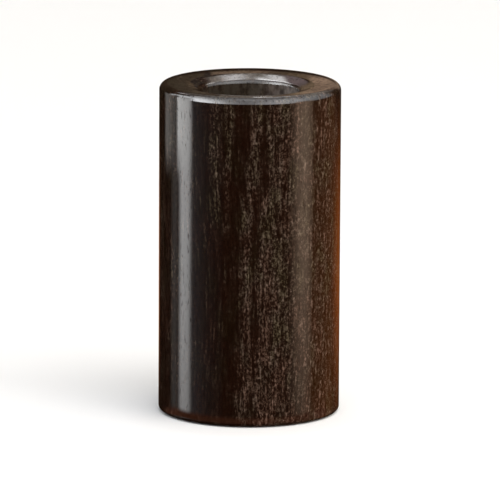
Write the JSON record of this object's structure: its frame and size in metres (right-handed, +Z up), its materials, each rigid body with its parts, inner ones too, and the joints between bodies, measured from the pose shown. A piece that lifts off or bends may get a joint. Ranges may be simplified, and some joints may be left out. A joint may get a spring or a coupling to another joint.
{
  "type": "dip pen holder",
  "caption": "Thick-walled turned hardwood pot with a flared round mouth, in which dip pens stand upright.",
  "frame": {"origin": "centre of the standing face, at desk level", "axes": "+Z up along the pot's axis; the pot is round, so +X and +Y are free"},
  "size_m": [0.06, 0.06, 0.11],
  "materials": {
    "polished_hardwood": "high gloss over open pores",
    "plug_hardwood": "oiled, as turned",
    "floor_felt": "pressed wool felt",
    "foot_felt": "pressed wool felt"
  },
  "bodies": {
    "root": {"turned_pot": "polished_hardwood", "base_plug": "plug_hardwood", "well_felt": "floor_felt", "foot_felt": "foot_felt"}
  },
  "joints": []
}
